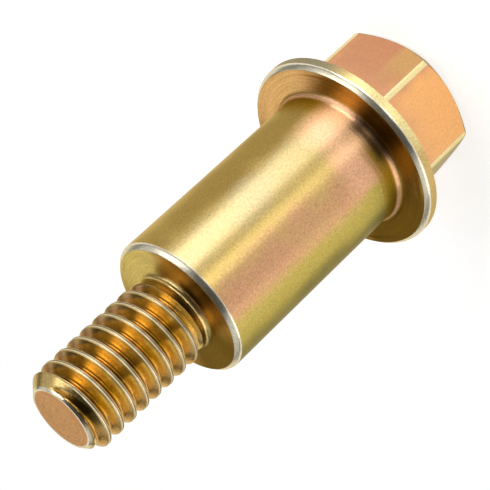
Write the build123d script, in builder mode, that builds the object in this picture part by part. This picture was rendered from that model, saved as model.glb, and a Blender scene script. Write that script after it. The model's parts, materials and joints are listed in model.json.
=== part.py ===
"""Flanged hex-head shoulder bolt, turned and thread-rolled in one piece, standing on its head.

A ground shoulder runs from the flange to a smaller 5/16-18 UNC thread. The axis is vertical, with the
top of the head at z = 0 and the thread above. Distances along the axis start at the flange's bearing
face: plus is towards the thread.
"""
from build123d import *
from math import radians, tan
import os

os.makedirs("parts", exist_ok=True)

INCH = 25.4

# Shoulder
shoulder_diameter = INCH / 2
shoulder_length = 20.60  # bearing face to the shoulder's end face
shoulder_chamfer = 0.38

# Thread, 5/16-18 UNC, right hand
thread_nominal_diameter = 5 / 16 * INCH
thread_major_diameter = 7.70  # as rolled, at the low end of class 2A
threads_per_inch = 18
thread_flank_angle = 30  # between a flank and the plane square to the axis, degrees
thread_length = 13.15  # shoulder's end face to the bolt's tip
thread_start = 0.52  # moves the helix along the axis

# Tip of the thread
tip_diameter = 6.20
tip_chamfer_angle = 45
tip_edge_break = 0.20

# Neck between the shoulder and the thread
neck_diameter = 6.80
neck_fillet = 0.55
run_out_length = 1.20  # over which the groove comes up to the neck
run_out_crest_angle = 20

# Flange
flange_diameter = 18.46
flange_rim_width = 1.00
flange_chamfer = 0.36
flange_back_angle = 25
bearing_land_width = 0.36
bearing_relief = 0.10  # how far the underside is dished inside its bearing land
relief_slope_width = 0.12

# Collar at the root of the shoulder
collar_fillet = 0.50
collar_lip_width = 0.10

# Hex head
head_height = 9.12  # bearing face to the top of the head
hex_across_flats = INCH / 2
hex_edge_radius = 0.32
hex_turn = 30  # a corner's angle about the axis, degrees
top_chamfer_diameter = 11.10
top_chamfer_angle = 30

# Radii and lengths that follow from the sizes above
shoulder_radius = shoulder_diameter / 2
flange_radius = flange_diameter / 2
neck_radius = neck_diameter / 2
tip_radius = tip_diameter / 2
hex_inner_radius = hex_across_flats / 2
top_chamfer_radius = top_chamfer_diameter / 2
tip_end = shoulder_length + thread_length
lip_radius = shoulder_radius + collar_fillet + collar_lip_width
land_inner_radius = flange_radius - flange_chamfer - bearing_land_width

# Thread form: a V groove with a flat root, worked out from the pitch
pitch = INCH / threads_per_inch
crest_flat = pitch / 8  # at the nominal diameter
root_flat = pitch / 6
flank_slope = tan(radians(thread_flank_angle))
thread_depth = (pitch - crest_flat - root_flat) / 2 / flank_slope
crest_radius = thread_major_diameter / 2
root_radius = thread_nominal_diameter / 2 - thread_depth
tip_chamfer_slope = tan(radians(tip_chamfer_angle))
tip_chamfer_length = (crest_radius - tip_radius) / tip_chamfer_slope
last_crest = tip_end - tip_edge_break - tip_chamfer_length

bearing_centre = Vector(0, 0, head_height)
towards_tip = Vector(0, 0, 1)
bolt_axis = Axis(bearing_centre, towards_tip)

# Half section: x runs from the bearing face towards the tip, y is the radius.
half_section = Plane(bearing_centre, x_dir=towards_tip, z_dir=(0, 1, 0))


def centre_at(distance):
    """Point on the axis, this far from the bearing face towards the tip."""
    return bearing_centre + towards_tip * distance


def groove_half_width(radius):
    """Half the width of the thread groove between its flanks, at this radius."""
    return root_flat / 2 + (radius - root_radius) * flank_slope


# Shoulder, collar, flange and neck, in one revolved half section
cone_top_radius = hex_inner_radius - hex_edge_radius
cone_height = (flange_radius - cone_top_radius) * tan(radians(flange_back_angle))
cone_top = -flange_rim_width - cone_height
neck_end = shoulder_length + neck_fillet

with BuildPart() as bolt:
    with BuildSketch(half_section):
        with BuildLine():
            Polyline(
                (neck_end, neck_radius),
                (neck_end, 0),
                (cone_top, 0),
                (cone_top, cone_top_radius),
                (-flange_rim_width, flange_radius),
                (-flange_chamfer, flange_radius),
                (0, flange_radius - flange_chamfer),
                (0, land_inner_radius),
                (-bearing_relief, land_inner_radius - relief_slope_width),
                (-bearing_relief, lip_radius + bearing_relief),
                (0, lip_radius),
                (0, shoulder_radius + collar_fillet),
            )
            TangentArc(
                (0, shoulder_radius + collar_fillet),
                (collar_fillet, shoulder_radius),
                tangent=(0, -1),
            )
            Polyline(
                (collar_fillet, shoulder_radius),
                (shoulder_length - shoulder_chamfer, shoulder_radius),
                (shoulder_length, shoulder_radius - shoulder_chamfer),
                (shoulder_length, neck_radius + neck_fillet),
            )
            TangentArc(
                (shoulder_length, neck_radius + neck_fillet),
                (neck_end, neck_radius),
                tangent=(0, -1),
            )
        make_face()
    revolve(axis=bolt_axis)

# Hex head: its corners are rounded, and a cone bevels them at the top.
head_plane = Plane(centre_at(-flange_rim_width), z_dir=-towards_tip)
top_cone_radius = top_chamfer_radius + head_height / tan(radians(top_chamfer_angle))

with BuildPart() as head:
    with BuildSketch(head_plane):
        RegularPolygon(hex_inner_radius, 6, major_radius=False, rotation=hex_turn)
    extrude(amount=head_height - flange_rim_width)
    fillet(head.edges().filter_by(bolt_axis), hex_edge_radius)
    with BuildSketch(half_section):
        Polygon(
            (0, 0),
            (0, top_cone_radius),
            (-head_height, top_chamfer_radius),
            (-head_height, 0),
            align=None,
        )
    revolve(axis=bolt_axis, mode=Mode.INTERSECT)

# Thread: a helical groove cut in a long rod, which is then turned down to the thread's outline.
rod_start = shoulder_length - 3 * pitch
rod_end = tip_end + 3 * pitch
groove_start = rod_start + pitch + thread_start
groove_turns = (rod_end - groove_start) / pitch - 1
groove_centre = centre_at(groove_start)
run_out_floor_slope = (neck_radius - root_radius) / run_out_length
run_out_crest_slope = tan(radians(run_out_crest_angle))
run_out_crest_length = (crest_radius - neck_radius) / run_out_crest_slope
clear = 0.5  # how far these outlines reach past the surface they meet

with BuildPart() as thread:
    with BuildSketch(half_section):
        Polygon(
            (rod_start, 0),
            (rod_start, crest_radius),
            (rod_end, crest_radius),
            (rod_end, 0),
            align=None,
        )
    revolve(axis=bolt_axis)

    with BuildLine() as helix:
        Helix(pitch, groove_turns * pitch, root_radius, groove_centre, towards_tip)
    outwards = (helix.line @ 0 - groove_centre).normalized()
    across_groove = Plane(groove_centre, x_dir=towards_tip, z_dir=towards_tip.cross(outwards))
    mouth_radius = crest_radius + clear
    with BuildSketch(across_groove):
        Polygon(
            (-groove_half_width(mouth_radius), mouth_radius),
            (-groove_half_width(root_radius), root_radius),
            (groove_half_width(root_radius), root_radius),
            (groove_half_width(mouth_radius), mouth_radius),
            align=None,
        )
    sweep(path=helix.line, is_frenet=True, mode=Mode.SUBTRACT)

    # The rod is cut off at both ends, then the tip is chamfered and the crests fall to the neck.
    split(bisect_by=Plane(centre_at(tip_end), z_dir=towards_tip), keep=Keep.BOTTOM)
    split(bisect_by=Plane(centre_at(shoulder_length), z_dir=towards_tip), keep=Keep.TOP)
    with BuildSketch(half_section):
        Polygon(
            (tip_end, tip_radius - tip_edge_break),
            (tip_end - tip_edge_break, tip_radius),
            (last_crest - clear, crest_radius + clear * tip_chamfer_slope),
            (tip_end + clear, crest_radius + clear),
            (tip_end + clear, tip_radius - tip_edge_break - clear),
            align=None,
        )
    revolve(axis=bolt_axis, mode=Mode.SUBTRACT)
    with BuildSketch(half_section):
        Polygon(
            (shoulder_length - clear, neck_radius),
            (neck_end, neck_radius),
            (neck_end + run_out_crest_length + clear / run_out_crest_slope, crest_radius + clear),
            (shoulder_length - clear, crest_radius + clear),
            align=None,
        )
    revolve(axis=bolt_axis, mode=Mode.SUBTRACT)

    # The groove's floor rises to the neck along a cone.
    with BuildSketch(half_section):
        Polygon(
            (shoulder_length, 0),
            (shoulder_length, neck_radius),
            (neck_end, neck_radius),
            (neck_end + run_out_length + clear, root_radius - clear * run_out_floor_slope),
            (neck_end + run_out_length + clear, 0),
            align=None,
        )
    revolve(axis=bolt_axis)

with bolt:
    add(head.part)
    add(thread.part)

bolt.part.label = "shoulder_bolt"
export_step(bolt.part, "parts/shoulder_bolt.step")
print("volume", round(bolt.part.volume, 1), "box", bolt.part.bounding_box())
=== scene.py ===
"""Shoulder bolt, yellow-passivated zinc on steel, standing on its head under soft studio lamps."""

import json
from math import atan2, ceil, cos, floor, pi, radians, sin, sqrt, tan

import bmesh
import bpy
from mathutils import Matrix, Vector


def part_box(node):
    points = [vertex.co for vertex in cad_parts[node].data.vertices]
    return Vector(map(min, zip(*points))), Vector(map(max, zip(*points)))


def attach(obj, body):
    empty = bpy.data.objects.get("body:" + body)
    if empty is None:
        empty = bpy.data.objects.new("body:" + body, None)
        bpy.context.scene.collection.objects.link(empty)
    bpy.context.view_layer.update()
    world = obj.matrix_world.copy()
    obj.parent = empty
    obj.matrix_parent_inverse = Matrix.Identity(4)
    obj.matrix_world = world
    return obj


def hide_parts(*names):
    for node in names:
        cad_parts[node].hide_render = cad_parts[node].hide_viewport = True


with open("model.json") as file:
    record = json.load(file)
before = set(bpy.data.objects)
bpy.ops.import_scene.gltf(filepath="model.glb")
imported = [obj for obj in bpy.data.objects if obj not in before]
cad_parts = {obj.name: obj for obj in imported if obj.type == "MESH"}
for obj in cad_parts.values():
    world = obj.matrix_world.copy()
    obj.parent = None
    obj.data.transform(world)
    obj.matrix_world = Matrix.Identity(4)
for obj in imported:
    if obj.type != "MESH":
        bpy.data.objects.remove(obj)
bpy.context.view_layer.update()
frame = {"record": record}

MM = 0.001
INCH = 25.4 * MM

# Driving sizes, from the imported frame
bolt_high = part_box("shoulder_bolt")[1]
mounts = {mount["name"]: mount for mount in frame["record"]["mounts"]}
flange_radius = bolt_high.x
tip_end = bolt_high.z
shoulder_radius = mounts["shoulder"]["dims"]["r_mm"] * MM
crest_radius = mounts["thread"]["dims"]["r_mm"] * MM
head_height = mounts["bearing_face"]["pos_m"][2]
shoulder_end = mounts["shoulder_end_face"]["pos_m"][2]

# Hex head
hex_inner_radius = INCH / 4  # the head is 1/2 in across flats
hex_corner_radius = 0.50 * MM
hex_turn = radians(30)
top_chamfer_radius = 5.55 * MM
top_chamfer_angle = radians(30)
hex_foot_fillet = 0.35 * MM
corner_flare = 0.5  # how fast the top edge's rounding grows towards a corner

# Flange and collar
flange_rim_width = 1.22 * MM  # thicker than the CAD's plain flange, towards the head
flange_chamfer = 0.36 * MM
flange_back_angle = radians(25)
land_width = 0.36 * MM
bearing_relief = 0.06 * MM
relief_slope_width = 0.30 * MM
relief_softness = 0.40 * MM
collar_fillet = 0.70 * MM

# Shoulder end, neck and tip
shoulder_chamfer = 0.38 * MM
neck_radius = 3.40 * MM
neck_fillet = 0.55 * MM
tip_radius = 3.10 * MM
tip_edge_break = 0.20 * MM
edge_softness = 0.05 * MM
chamfer_softness = 0.40 * MM  # where a chamfer meets the side of the shoulder or flange
face_softness = 0.14 * MM  # where it meets the face

# Thread, 5/16-18 UNC with a round root
threads_per_inch = 18
pitch = INCH / threads_per_inch
nominal_radius = 5 / 32 * INCH
thread_depth = 0.61343 * pitch  # from the nominal radius to the foot of the round root
flank_angle = radians(30)
root_radius = nominal_radius - thread_depth
root_arc = 0.14434 * pitch  # radius of the round root
thread_start = 0.52 * MM
run_out_length = 1.20 * MM
run_out_crest_angle = radians(20)
crest_seam_depth = 0.040 * MM
crest_seam_start = 0.35  # share of the way from the crest's edge to its middle
crest_edge_softness = 0.045 * MM

# Section of the groove: where its round root and its flanks end, as offsets from its middle along
# the axis, and the radius at which its flanks start
arc_edge = root_arc * cos(flank_angle)
flank_foot = root_radius + root_arc * (1 - sin(flank_angle))
crest_edge = arc_edge + (crest_radius - flank_foot) * tan(flank_angle)
half_pitch = pitch / 2

# Places along the axis that follow from the sizes above
neck_end = shoulder_end + neck_fillet
thread_end = tip_end - tip_edge_break
groove_base = shoulder_end - 2 * pitch + thread_start

# Mesh fineness
COLUMNS = 192
CORNER_STEPS = 3
ARC_STEPS = 4
FILLET_STEPS = 9
ROOT_SHARES = (0.35, 0.7, 1)  # where the thread's rows lie along half a root, a flank and half a crest
FLANK_SHARES = (0.33, 0.66, 0.88, 0.95)
CREST_SHARES = (0.0, 0.15, 0.35, 0.65)
SPARE_GROOVES = 2  # past each end of the thread, so that every row starts and ends outside it
WELD_DISTANCE = 0.00001 * MM
SHARP_ANGLE = radians(40)


# ---------------------------------------------------------------- outline

def softened(corners):
    """Outline of (z, radius) points from (z, radius, rounding, steps) corners, each rounded by an arc."""
    outline = []
    for index, (z, radius, rounding, steps) in enumerate(corners):
        here = Vector((z, radius))
        if rounding == 0:
            outline.append((z, radius))
            continue
        to_last = (Vector(corners[index - 1][:2]) - here).normalized()
        to_next = (Vector(corners[index + 1][:2]) - here).normalized()
        half_angle = to_last.angle(to_next) / 2
        centre = here + (to_last + to_next).normalized() * (rounding / sin(half_angle))
        setback = rounding / tan(half_angle)
        first = here + to_last * setback - centre
        last = here + to_next * setback - centre
        turn = first.angle_signed(last)
        for step in range(steps + 1):
            spoke = Matrix.Rotation(-turn * step / steps, 2) @ first
            point = centre + spoke
            outline.append((point.x, point.y))
    return outline


def hex_radius(azimuth):
    """Distance from the axis to the side of the hex, whose corners are rounded."""
    from_corner = (azimuth - hex_turn + pi / 6) % (pi / 3) - pi / 6
    arc_centre = (hex_inner_radius - hex_corner_radius) / cos(pi / 6)
    if abs(from_corner) < corner_half_width:
        across = arc_centre * sin(from_corner)
        return arc_centre * cos(from_corner) + sqrt(hex_corner_radius ** 2 - across ** 2)
    return hex_inner_radius / cos(pi / 6 - abs(from_corner))


corner_half_width = atan2(
    hex_corner_radius * sin(pi / 6),
    (hex_inner_radius - hex_corner_radius) / cos(pi / 6) + hex_corner_radius * cos(pi / 6),
)


def body_outline(azimuth):
    """Outline at one azimuth, from the middle of the head's top to the end of the neck."""
    side = hex_radius(azimuth)
    top_edge = (side - top_chamfer_radius) * tan(top_chamfer_angle)
    foot = head_height - flange_rim_width - (flange_radius - side) * tan(flange_back_angle)
    relief = head_height - bearing_relief
    land_inner = flange_radius - flange_chamfer - land_width
    soft = edge_softness
    return softened([
        (0, top_chamfer_radius / 2, 0, 0),
        (0, top_chamfer_radius, soft, ARC_STEPS),
        (top_edge, side, 2 * soft + corner_flare * (side - hex_inner_radius), ARC_STEPS),
        (foot, side, hex_foot_fillet, ARC_STEPS),
        (head_height - flange_rim_width, flange_radius, 2 * soft, ARC_STEPS),
        (head_height - flange_chamfer, flange_radius, chamfer_softness, ARC_STEPS),
        (head_height, flange_radius - flange_chamfer, face_softness, ARC_STEPS),
        (head_height, land_inner, relief_softness, ARC_STEPS),
        (relief, land_inner - relief_slope_width, relief_softness, ARC_STEPS),
        (relief, shoulder_radius, collar_fillet, FILLET_STEPS),
        (shoulder_end - shoulder_chamfer, shoulder_radius, chamfer_softness, ARC_STEPS),
        (shoulder_end, shoulder_radius - shoulder_chamfer, face_softness, ARC_STEPS),
        (shoulder_end, neck_radius, neck_fillet, FILLET_STEPS),
        (neck_end, neck_radius, 0, 0),
    ])


# ---------------------------------------------------------------- thread

def groove_radius(from_centre):
    """Radius of the thread's surface this far along the axis from the middle of its groove."""
    offset = abs(from_centre)
    if offset < arc_edge:
        return root_radius + root_arc - sqrt(root_arc ** 2 - offset ** 2)
    flank = flank_foot + (offset - arc_edge) / tan(flank_angle)
    into_crest = (offset - crest_edge) / (half_pitch - crest_edge)
    seam = crest_seam_depth * max(0, into_crest - crest_seam_start) / (1 - crest_seam_start)
    crest = crest_radius - seam
    softness = crest_edge_softness
    on_flank = max(0, min(1, 0.5 + (crest - flank) / (2 * softness)))
    return crest + (flank - crest) * on_flank - softness * on_flank * (1 - on_flank)


def thread_radius(z, from_centre):
    """Radius of the thread there, where its run-out and the tip's chamfer also cut or fill it."""
    along = (z - neck_end) / run_out_length
    floor_radius = neck_radius - (neck_radius - root_radius) * along
    crest_cone = neck_radius + (z - neck_end) * tan(run_out_crest_angle)
    tip_cone = tip_radius + (thread_end - z)
    return min(max(groove_radius(from_centre), floor_radius), crest_cone, tip_cone)


def groove_stations():
    """Offsets from the middle of the groove, over one pitch, closest together at the root and the crest."""
    half = [arc_edge * share for share in ROOT_SHARES]
    half += [arc_edge + (crest_edge - arc_edge) * share for share in FLANK_SHARES]
    half += [crest_edge + (half_pitch - crest_edge) * share for share in CREST_SHARES]
    return [-offset for offset in reversed(half)] + [0] + half + [half_pitch]


# ---------------------------------------------------------------- mesh

def azimuths():
    """Azimuths of the mesh's columns, with more of them round the hex's corners."""
    step = 2 * pi / COLUMNS
    found = [step * column for column in range(COLUMNS)]
    for corner in range(6):
        middle = hex_turn + corner * pi / 3
        for side in (-1, 1):
            for share in range(1, CORNER_STEPS + 1):
                found.append((middle + side * corner_half_width * share / CORNER_STEPS) % (2 * pi))
    return sorted(found)


def at(azimuth, z, radius):
    return (radius * cos(azimuth), radius * sin(azimuth), z)


def add_rings(vertices, faces, columns, outlines):
    """A ring of vertices for each row of the outlines, one outline to a column, joined by outward quads."""
    count = len(columns)
    rings = []
    for row in range(len(outlines[0])):
        rings.append(range(len(vertices), len(vertices) + count))
        vertices.extend(at(azimuth, *outline[row]) for azimuth, outline in zip(columns, outlines))
    for ring, next_ring in zip(rings, rings[1:]):
        for column in range(count):
            after = (column + 1) % count
            faces.append((ring[column], ring[after], next_ring[after], next_ring[column]))
    return rings


def close_end(vertices, faces, ring, z, upwards):
    """A fan from the ring to a point on the axis."""
    middle = len(vertices)
    vertices.append((0, 0, z))
    for column in range(len(ring)):
        edge = (ring[column], ring[(column + 1) % len(ring)])
        faces.append((*edge, middle) if upwards else (*edge[::-1], middle))


def add_head_and_shoulder(vertices, faces, columns):
    rings = add_rings(vertices, faces, columns, [body_outline(azimuth) for azimuth in columns])
    close_end(vertices, faces, rings[0], 0, upwards=False)


def add_thread(vertices, faces, columns):
    """The thread's rows climb one pitch a turn, so they follow its crests, and stop at both ends."""
    stations = groove_stations()
    first_groove = floor((neck_end - groove_base) / pitch) - SPARE_GROOVES
    grooves = ceil((thread_end - neck_end) / pitch) + 2 * SPARE_GROOVES
    rows = [
        (groove_base + (first_groove + groove) * pitch + offset, offset)
        for groove in range(grooves)
        for offset in stations
    ]
    grid = []
    for azimuth in columns:
        rise = pitch * azimuth / (2 * pi)
        line = []
        for row_z, offset in rows:
            z = max(neck_end, min(thread_end, row_z + rise))
            line.append(len(vertices))
            vertices.append(at(azimuth, z, thread_radius(z, offset)))
        grid.append(line)

    # The last column meets the first one, one groove further on.
    for column, line in enumerate(grid):
        last = column == len(grid) - 1
        shift = len(stations) if last else 0
        neighbour = grid[0] if last else grid[column + 1]
        for row in range(len(rows) - 1 - len(stations)):
            faces.append((line[row], neighbour[row + shift], neighbour[row + shift + 1], line[row + 1]))


def add_tip(vertices, faces, columns):
    outline = softened([
        (thread_end, tip_radius, 0, 0),
        (tip_end, tip_radius - tip_edge_break, edge_softness, ARC_STEPS),
        (tip_end, tip_radius / 2, 0, 0),
    ])
    rings = add_rings(vertices, faces, columns, [outline] * len(columns))
    close_end(vertices, faces, rings[-1], tip_end, upwards=True)


def make_bolt():
    mesh = bpy.data.meshes.new("zinc_plated_bolt")
    columns = azimuths()
    vertices = []
    faces = []
    add_head_and_shoulder(vertices, faces, columns)
    add_thread(vertices, faces, columns)
    add_tip(vertices, faces, columns)
    mesh.from_pydata(vertices, [], faces)
    work = bmesh.new()
    work.from_mesh(mesh)
    bmesh.ops.remove_doubles(work, verts=work.verts, dist=WELD_DISTANCE)
    bmesh.ops.recalc_face_normals(work, faces=work.faces)
    work.to_mesh(mesh)
    work.free()
    mesh.shade_smooth()
    mesh.set_sharp_from_angle(angle=SHARP_ANGLE)
    bolt = bpy.data.objects.new("zinc_plated_bolt", mesh)
    bpy.context.scene.collection.objects.link(bolt)
    return bolt


# ---------------------------------------------------------------- finish

def add_node(tree, kind, settings, inputs):
    """A new node with those settings, and with those values or links on its sockets."""
    made = tree.nodes.new(kind)
    for name, setting in settings.items():
        setattr(made, name, setting)
    for key, value in inputs.items():
        if isinstance(value, Value):
            tree.links.new(value.socket, made.inputs[key])
        else:
            made.inputs[key].default_value = value
    return made


class Value:
    """A socket's value in a material, for writing shader maths as expressions."""

    def __init__(self, tree, socket):
        self.tree = tree
        self.socket = socket

    def node(self, kind, settings, inputs, output=0):
        """An output of a new node."""
        return Value(self.tree, add_node(self.tree, kind, settings, inputs).outputs[output])

    def math(self, operation, *others):
        """What a Math node makes of this value and any others, in that order."""
        return self.node("ShaderNodeMath", {"operation": operation}, dict(enumerate((self, *others))))

    def __add__(self, other):
        return self.math("ADD", other)

    def __radd__(self, other):
        return self.math("ADD", other)

    def __sub__(self, other):
        return self.math("SUBTRACT", other)

    def __rsub__(self, other):
        return self.node("ShaderNodeMath", {"operation": "SUBTRACT"}, {0: other, 1: self})

    def __mul__(self, other):
        return self.math("MULTIPLY", other)

    def __rmul__(self, other):
        return self.math("MULTIPLY", other)

    def __truediv__(self, other):
        return self.math("DIVIDE", other)


def ramp(value, start, end):
    """A smooth rise from 0 at start to 1 at end."""
    limits = {"Value": value, "From Min": start, "From Max": end}
    return value.node("ShaderNodeMapRange", {"interpolation_type": "SMOOTHSTEP"}, limits)


def blend(share, first, second):
    """The first colour, going over to the second as share rises to 1."""
    return share.node("ShaderNodeMix", {"data_type": "RGBA"}, {0: share, 6: first, 7: second}, output=2)


def noise(place, scale, detail=2.0):
    return place.node("ShaderNodeTexNoise", {}, {"Vector": place, "Scale": scale, "Detail": detail})


# Tints of the passivated zinc, some of them used to paint highlights and shade, as red, green, blue and
# opacity
GOLD = (0.63, 0.45, 0.15, 1)
SALMON = (0.70, 0.37, 0.20, 1)
PALE = (0.55, 0.44, 0.23, 1)
BRONZE = (0.38, 0.25, 0.07, 1)
LIME = (0.53, 0.41, 0.10, 1)
OLIVE = (0.20, 0.17, 0.06, 1)
ROSE = (0.95, 0.54, 0.32, 1)
UMBER = (0.14, 0.07, 0.008, 1)
SIENNA = (0.53, 0.28, 0.06, 1)
HONEY = (0.38, 0.22, 0.01, 1)
# painted shade, near black
SHADE_BLACK = (0.07, 0.04, 0.015, 1)
COPPER = (0.80, 0.46, 0.17, 1)
STRAW = (0.66, 0.49, 0.15, 1)
PEACH = (0.58, 0.29, 0.14, 1)
ORANGE = (0.90, 0.48, 0.19, 1)
DUSK = (0.60, 0.29, 0.16, 1)
SILVER = (0.85, 0.78, 0.60, 1)
PEWTER = (0.31, 0.27, 0.18, 1)
CREAM = (0.90, 0.76, 0.36, 1)
SAND = (0.62, 0.44, 0.17, 1)
AMBER = (0.44, 0.22, 0.012, 1)
BROWN = (0.14, 0.07, 0.01, 1)
FLAME = (0.42, 0.20, 0.03, 1)
SAGE = (0.40, 0.33, 0.16, 1)
GLANCING = (0.90, 0.80, 0.55, 1)  # the metal's tint at grazing angles


class Surface:
    """Where a point lies on the bolt, in which region, and the clouds and marks that its tints share."""

    def __init__(self, tree):
        coordinates = add_node(tree, "ShaderNodeTexCoord", {}, {})
        place = Value(tree, coordinates.outputs["Object"])
        facing = Value(tree, coordinates.outputs["Normal"])
        x, y, z = (place.node("ShaderNodeSeparateXYZ", {}, {0: place}, output=part) for part in range(3))
        upward = facing.node("ShaderNodeSeparateXYZ", {}, {0: facing}, output=2)
        radius = (x * x + y * y).math("SQRT")
        self.x, self.y, self.z = x, y, z
        self.upward = upward
        self.radius = radius

        self.cloud = noise(place, 160.0, 3.0)
        self.wisp = noise(place, 420.0)
        self.grain = noise(place, 6500.0)

        # Turning marks change quickly outwards and along the axis, and slowly round it.
        rings = place.node("ShaderNodeCombineXYZ", {}, {
            0: x / radius * 2,
            1: y / radius * 2,
            2: (z + radius) * 5000,
        })
        self.brushed = noise(rings, 1.0)

        # Place on the thread: across is in pitches, 0 at the middle of the crest and half a pitch either
        # way at the middle of the groove. Depth is 0 at the crest and 1 at the root.
        turns = (z - groove_base) / pitch - y.math("ARCTAN2", x) / (2 * pi)
        self.across = turns.math("FRACT") - 0.5
        self.depth = (crest_radius - radius) / (crest_radius - root_radius)

        # Regions, as 1 inside and 0 outside
        self.on_face = ramp(upward, 0.80, 0.94)
        self.on_end = ramp(z, shoulder_end - 1 * MM, shoulder_end - 0.5 * MM)
        self.on_rim = ramp(radius, flange_radius - 0.42 * MM, flange_radius - 0.34 * MM)
        rim_of_end = ramp(radius, shoulder_radius - 0.45 * MM, shoulder_radius - 0.38 * MM) * self.on_end
        sloping = ramp(upward, 0.12, 0.30) * (1 - ramp(upward, 0.90, 0.98))
        self.on_chamfer = sloping * (self.on_rim + rim_of_end).math("MINIMUM", 1.0)
        self.past_shoulder = ramp(z, shoulder_end + 0.1 * MM, shoulder_end + 0.2 * MM)
        self.below_crest = ramp(self.depth, 0.03, 0.14)
        self.at_tip = ramp(z, thread_end, thread_end + 0.1 * MM)
        self.on_hex = 1 - ramp(z, 6.9 * MM, 7.1 * MM)
        self.on_corner = ramp(radius, 7.180 * MM, 7.195 * MM)

    def side(self, degrees, start, end, ragged=0):
        """1 on the side towards that azimuth, by the cosine of the angle from it, with a ragged edge."""
        cosine = (self.x * cos(radians(degrees)) + self.y * sin(radians(degrees))) / self.radius
        return ramp(cosine + ragged, start, end)


def shoulder_tint(bolt):
    """Colour along the shoulder by azimuth: salmon and lime tones, painted shade in bronze and olive, a
    pale painted highlight that turns rose near the flange, and honey painted shade where it meets the
    flange.
    """
    z, cloud, brushed = bolt.z, bolt.cloud, bolt.brushed
    # painted shade: a dark bronze band on the side towards -40 degrees
    tint = blend(bolt.side(-40, 1.00, 1.10, cloud * 0.2), GOLD, BRONZE)
    tint = blend(bolt.side(-120, 1.06, 1.17, cloud * 0.3), tint, SALMON)
    # painted highlight: pale on the side towards -74 degrees
    tint = blend(bolt.side(-74, 1.00, 1.06, cloud * 0.1), tint, PALE)
    tint = blend(bolt.side(-157, 1.02, 1.14, cloud * 0.3), tint, LIME)
    # painted shade: olive along the edge towards -190 degrees, and more of it near the flange
    tint = blend(bolt.side(-190, 0.86, 1.06, cloud * 0.2), tint, OLIVE)
    tint = blend(bolt.side(-187, 0.90, 1.0, cloud * 0.1) * (1 - ramp(z, 12 * MM, 16 * MM)), tint, OLIVE)
    # painted highlight near the flange: rose on the side towards -92 degrees
    by_flange = 1 - ramp(z - cloud * 4 * MM, head_height + 1.0 * MM, head_height + 4.0 * MM)
    tint = blend(by_flange * bolt.side(-92, 0.74, 0.90) * 0.8, tint, ROSE)
    # painted shade: honey where the shoulder meets the flange, less on the side towards -80 degrees
    at_collar = 1 - ramp(z - brushed * 1.2 * MM, head_height + 0.6 * MM, head_height + 2.0 * MM)
    return blend(at_collar * (0.9 - 0.75 * bolt.side(-80, 0.85, 0.97)), tint, HONEY)


def face_tint(bolt):
    """Faces square to the axis: the flange's underside and the shoulder's end, with their light and shade
    painted in by azimuth.
    """
    on_end, wisp = bolt.on_end, bolt.wisp
    # painted shade: dark umber on the side towards 173 degrees
    tint = blend(bolt.side(173, 0.72 - 0.1 * on_end, 1.0, wisp * 0.2), SIENNA, UMBER)
    # painted shade: umber, and near black on the end, on the side towards -97 degrees, which faces the
    # camera
    tint = blend(bolt.side(-97, 0.93 - 0.03 * on_end, 1.0) * 0.85, tint, blend(on_end, UMBER, SHADE_BLACK))
    # painted lit side: copper, and straw on the end, on the side towards -7 degrees
    return blend(bolt.side(-7, 0.75, 1.02, wisp * 0.3), tint, blend(on_end, COPPER, STRAW))


def with_collar_fillet(bolt, tint):
    """The tint, with a rose collar fillet that is partly its tone and partly a painted highlight, and
    near-black painted shade on one side where the shoulder meets the flange.
    """
    on_fillet = ramp(bolt.upward, 0.20, 0.50) * (1 - ramp(bolt.upward, 0.70, 0.85)) * (1 - bolt.on_end)
    # the fillet's rose tint also paints its glossy highlight
    tint = blend(on_fillet * 0.85, tint, ROSE)
    # painted shade, near black, on the shoulder beside the flange, towards -103 degrees
    collar_shade = 1 - ramp(bolt.z - bolt.brushed * 0.8 * MM, head_height + 0.3 * MM, head_height + 1.2 * MM)
    return blend(collar_shade * bolt.side(-103, 0.93, 0.985) * (1 - bolt.on_face) * 0.9, tint, SHADE_BLACK)


def rim_tint(bolt):
    # painted highlight: cream on the rim's side towards -95 degrees
    tint = blend(bolt.side(-95, 0.90, 1.02, bolt.wisp * 0.1), SAND, CREAM)
    return blend(bolt.side(-27, 0.74, 0.98, bolt.wisp * 0.1), tint, PEWTER)


def groove_tint(bolt):
    """Flanks and root of the thread, where the passivate lies thick and dark, with lengthwise bands of
    painted shade.
    """
    cloud, wisp, across = bolt.cloud, bolt.wisp, bolt.across
    tint = blend(ramp(bolt.depth, 0.25, 0.6), SAND, blend(ramp(wisp, 0.45, 0.75) * 0.6, AMBER, BRONZE))
    tint = blend(bolt.side(-175, 0.75, 1.25, cloud * 0.3) * 0.7, tint, COPPER)
    tint = blend(bolt.side(-10, 0.70, 1.25, cloud * 0.3) * 0.6, tint, SALMON)
    tint = blend(bolt.side(-75, 0.90, 0.98, wisp * 0.02) * 0.85, tint, FLAME)
    # painted shade: brown bands along the thread, towards -103 and -50 degrees
    shade_bands = bolt.side(-103, 0.985, 1.012, wisp * 0.04) + bolt.side(-50, 0.93, 1.01, wisp * 0.04)
    tint = blend(shade_bands * ramp(wisp, 0.25, 0.60) * 0.9, tint, BROWN)
    behind_crest = ramp(across, -0.42, -0.32) * (1 - ramp(across, -0.13, -0.11))
    return blend(behind_crest * 0.85, tint, CREAM)


def crest_tint(bolt):
    """Crests of the thread, with silver and pale painted highlights and a brown line of painted shade on
    the side towards the head.
    """
    across = bolt.across
    # painted highlights in silver and pale along the crest, with painted shade in brown between them
    tint = blend(ramp(across, -0.035, -0.020), blend(ramp(across, -0.070, -0.060), PALE, BROWN), SILVER)
    return blend(ramp(across, 0.050, 0.070), tint, SAND)


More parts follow.
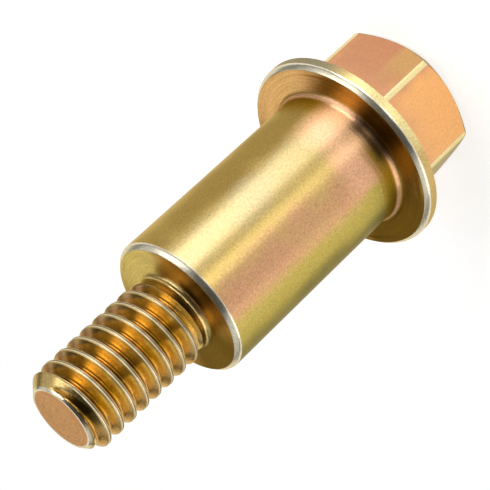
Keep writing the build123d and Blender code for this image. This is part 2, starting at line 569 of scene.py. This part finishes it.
def thread_tint(bolt):
    """Crests and grooves, between the plain sandy neck and the tip's chamfer."""
    tint = blend(bolt.below_crest, crest_tint(bolt), groove_tint(bolt))
    tint = blend(ramp(bolt.z, neck_end + 0.2 * MM, neck_end + 1.0 * MM), SAND, tint)
    cone_sum = thread_end + tip_radius  # z + radius all over the tip's chamfer
    on_cone = ramp(bolt.z + bolt.radius, cone_sum - 0.04 * MM, cone_sum - 0.01 * MM)
    return blend(on_cone, tint, SAND)


def tip_tint(bolt):
    """The tip's face, with a silver edge."""
    return blend(ramp(bolt.radius, 2.65 * MM, 2.8 * MM), PEACH, SILVER)


def hex_tint(bolt):
    """Flats and corners of the hex, and its bevel, with painted shade on one flat and on the bevel, a
    painted grazing reflection on two flats, and painted highlights on the corners.
    """
    z, cloud, wisp = bolt.z, bolt.cloud, bolt.wisp
    # painted shade: darker, pinker dusk on the flat towards -60 degrees
    flat = blend(bolt.side(-60, 0.9, 1.1, wisp * 0.3), ORANGE, DUSK)
    flat = blend(ramp(z + wisp * 2 * MM, 5.0 * MM, 8.0 * MM) * 0.7, flat, SALMON)
    beside_line = bolt.side(-80, 0.985, 1.005, cloud * 0.02) * (1 - ramp(z, 2 * MM, 6 * MM))
    flat = blend(beside_line * 0.5, flat, GOLD)
    # painted reflection: sage on the two flats towards -180 and 0 degrees, the tone they show at a grazing
    # angle
    flat = blend(bolt.side(-180, 0.88, 0.90) + bolt.side(0, 0.86, 0.88), flat, SAGE)
    # painted highlights: silver and cream along the corners
    corner = blend(ramp(bolt.radius, 7.205 * MM, 7.22 * MM), SILVER, CREAM)
    # painted shade: a dark pewter line on the bevel, which faces the floor
    on_bevel = ramp(0 - bolt.upward, 0.10, 0.40)
    return blend(on_bevel, blend(bolt.on_corner, flat, corner), PEWTER)


def bolt_tint(bolt):
    """The tint of every region, with a fine grain, and turning marks on the faces."""
    tint = blend(bolt.on_face, shoulder_tint(bolt), face_tint(bolt))
    tint = with_collar_fillet(bolt, tint)
    tint = blend(bolt.on_rim, tint, rim_tint(bolt))
    tint = blend(bolt.on_chamfer, tint, SILVER)
    tint = blend(bolt.past_shoulder, tint, thread_tint(bolt))
    tint = blend(bolt.at_tip, tint, tip_tint(bolt))
    tint = blend(bolt.on_hex, tint, hex_tint(bolt))
    shade = 1 + (bolt.grain - 0.5) * (0.8 - bolt.on_hex * 0.4) + bolt.on_face * (bolt.brushed - 0.5) * 0.6
    return tint.node("ShaderNodeVectorMath", {"operation": "SCALE"}, {0: tint, "Scale": shade})


def zinc_finish():
    """Yellow chromate on zinc: gold with olive and salmon tones, amber where it lies thick, and highlights
    and shade painted in by azimuth.
    """
    material = bpy.data.materials.new("yellow_zinc")
    material.use_nodes = True
    tree = material.node_tree
    tree.nodes.clear()
    bolt = Surface(tree)
    tint = bolt_tint(bolt)
    bump = tint.node("ShaderNodeBump", {}, {
        "Strength": 0.3,
        "Distance": 0.02 * MM,
        "Height": bolt.grain + bolt.brushed * bolt.on_face,
    })
    metal = {"Base Color": tint, "Specular Tint": GLANCING, "Metallic": 1.0, "Normal": bump}
    plain = tint.node("ShaderNodeBsdfPrincipled", {}, {
        **metal,
        "Roughness": 0.20 + bolt.cloud * 0.1 + bolt.on_hex * 0.16,
    })
    turned = tint.node("ShaderNodeBsdfPrincipled", {}, {
        **metal,
        "Roughness": 0.34 + bolt.cloud * 0.06 - bolt.on_face * 0.06,
        "Anisotropic": 0.85,
        "Anisotropic Rotation": 0.25,
    })
    unturned = (bolt.past_shoulder * bolt.below_crest).math("MAXIMUM", bolt.on_hex * (1 - bolt.on_corner))
    unturned = unturned.math("MAXIMUM", bolt.at_tip)
    unturned = unturned.math("MAXIMUM", bolt.on_chamfer * 0.6)
    either = tint.node("ShaderNodeMixShader", {}, {0: unturned, 1: turned, 2: plain})
    add_node(tree, "ShaderNodeOutputMaterial", {}, {"Surface": either})
    return material


# ---------------------------------------------------------------- surroundings

WHITE = (1, 1, 1, 1)


def shows_background(tree):
    """1 for the rays that see the white background: the camera's, and those off metal or through glass."""
    path = add_node(tree, "ShaderNodeLightPath", {}, {})
    camera = Value(tree, path.outputs["Is Camera Ray"])
    glossy = Value(tree, path.outputs["Is Glossy Ray"])
    through = Value(tree, path.outputs["Is Transmission Ray"])
    return camera + glossy + through


def make_floor():
    """A pale floor: matt with a glow near the bolt, where its shadow shows, and white farther out."""
    half_size = 3.0
    floor_colour = (0.9, 0.9, 0.9, 1)
    near_glow = 0.66
    near_radius, far_radius = 0.04, 0.12
    mesh = bpy.data.meshes.new("floor")
    corners = [(-half_size, -half_size, 0), (half_size, -half_size, 0)]
    corners += [(half_size, half_size, 0), (-half_size, half_size, 0)]
    mesh.from_pydata(corners, [], [(0, 1, 2, 3)])
    ground = bpy.data.objects.new("floor", mesh)
    bpy.context.scene.collection.objects.link(ground)
    material = bpy.data.materials.new("pale_floor")
    material.use_nodes = True
    tree = material.node_tree
    tree.nodes.clear()
    seen = shows_background(tree)
    spot = Value(tree, add_node(tree, "ShaderNodeNewGeometry", {}, {}).outputs["Position"])
    from_bolt = spot.node("ShaderNodeVectorMath", {"operation": "LENGTH"}, {0: spot}, output=1)
    matt = seen.node("ShaderNodeBsdfDiffuse", {}, {"Color": floor_colour})
    glow = seen.node("ShaderNodeEmission", {}, {"Color": WHITE, "Strength": near_glow})
    near = seen.node("ShaderNodeAddShader", {}, {0: matt, 1: glow})
    far = seen.node("ShaderNodeEmission", {}, {"Color": WHITE, "Strength": 1.0})
    farther = ramp(from_bolt, near_radius, far_radius)
    white = seen.node("ShaderNodeMixShader", {}, {0: farther, 1: near, 2: far})
    both = seen.node("ShaderNodeMixShader", {}, {0: seen, 1: matt, 2: white})
    add_node(tree, "ShaderNodeOutputMaterial", {}, {"Surface": both})
    ground.data.materials.append(material)


def make_panel(name, azimuth, elevation, distance, width, height, power):
    """A soft panel lamp at that azimuth and elevation from the middle of the bolt, aimed at it."""
    lamp = bpy.data.lights.new(name, "AREA")
    lamp.shape = "RECTANGLE"
    lamp.size = width
    lamp.size_y = height
    lamp.energy = power
    panel = bpy.data.objects.new(name, lamp)
    bpy.context.scene.collection.objects.link(panel)
    middle = Vector((0, 0, tip_end / 2))
    turn, lift = radians(azimuth), radians(elevation)
    away = Vector((cos(turn) * cos(lift), sin(turn) * cos(lift), sin(lift)))
    panel.location = middle + away * distance
    panel.rotation_euler = away.to_track_quat("Z", "Y").to_euler()
    panel.visible_camera = False


def make_world():
    """A dark room, with a white backdrop behind the floor that ends a little above the horizon."""
    room_strength = 0.05
    backdrop_fade_start, backdrop_fade_end = radians(8), radians(10)
    world = bpy.data.worlds.new("studio")
    world.use_nodes = True
    tree = world.node_tree
    tree.nodes.clear()
    seen = shows_background(tree)
    direction = Value(tree, add_node(tree, "ShaderNodeTexCoord", {}, {}).outputs["Generated"])
    height = direction.node("ShaderNodeSeparateXYZ", {}, {0: direction}, output=2)
    on_backdrop = 1 - ramp(height, sin(backdrop_fade_start), sin(backdrop_fade_end))
    room = seen.node("ShaderNodeBackground", {}, {"Color": WHITE, "Strength": room_strength})
    backdrop = seen.node("ShaderNodeBackground", {}, {"Color": WHITE, "Strength": 1.0})
    both = seen.node("ShaderNodeMixShader", {}, {0: seen * on_backdrop, 1: room, 2: backdrop})
    add_node(tree, "ShaderNodeOutputWorld", {}, {"Surface": both})
    bpy.context.scene.world = world


def make_camera():
    """The camera looks down past the tip, turned so that the tip points to the lower left."""
    azimuth, elevation, roll = radians(-7.04), radians(28.14), radians(-133.155)
    distance = 0.147
    aim = Vector((-0.00031, -0.00303, 0.02291))
    forward = Vector((-sin(azimuth) * cos(elevation), cos(azimuth) * cos(elevation), -sin(elevation)))
    level = forward.cross(Vector((0, 0, 1))).normalized()
    upright = level.cross(forward)
    right = level * cos(roll) + upright * sin(roll)
    up = right.cross(forward)
    lens = bpy.data.cameras.new("camera")
    lens.lens = 137.08
    lens.sensor_width = 36
    lens.clip_start = 0.01
    camera = bpy.data.objects.new("camera", lens)
    bpy.context.scene.collection.objects.link(camera)
    turned = Matrix((right, up, -forward)).transposed()
    camera.matrix_world = Matrix.Translation(aim - forward * distance) @ turned.to_4x4()
    bpy.context.scene.camera = camera


bolt = make_bolt()
bolt.data.materials.append(zinc_finish())
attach(bolt, "root")
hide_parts("shoulder_bolt")

make_floor()
make_world()
make_panel("front_strip", azimuth=-98, elevation=-6, distance=0.085, width=0.024, height=0.02, power=0.0065)
make_panel("low_panel", azimuth=-55, elevation=-6, distance=0.085, width=0.052, height=0.020, power=0.0215)
make_panel("upper_panel", azimuth=-27, elevation=49, distance=0.30, width=0.22, height=0.10, power=0.17)
make_panel("right_panel", azimuth=12, elevation=34, distance=0.35, width=0.46, height=0.12, power=0.113)
make_panel("top_panel", azimuth=13, elevation=72, distance=0.30, width=0.08, height=0.08, power=0.04)
make_panel("left_panel", azimuth=160, elevation=38, distance=0.35, width=0.50, height=0.20, power=0.18)
make_panel("side_panel", azimuth=-170, elevation=12, distance=0.35, width=0.26, height=0.14, power=0.20)
make_panel("back_panel", azimuth=83, elevation=30, distance=0.40, width=0.36, height=0.22, power=0.22)
make_camera()
bpy.context.scene.view_settings.view_transform = "Standard"
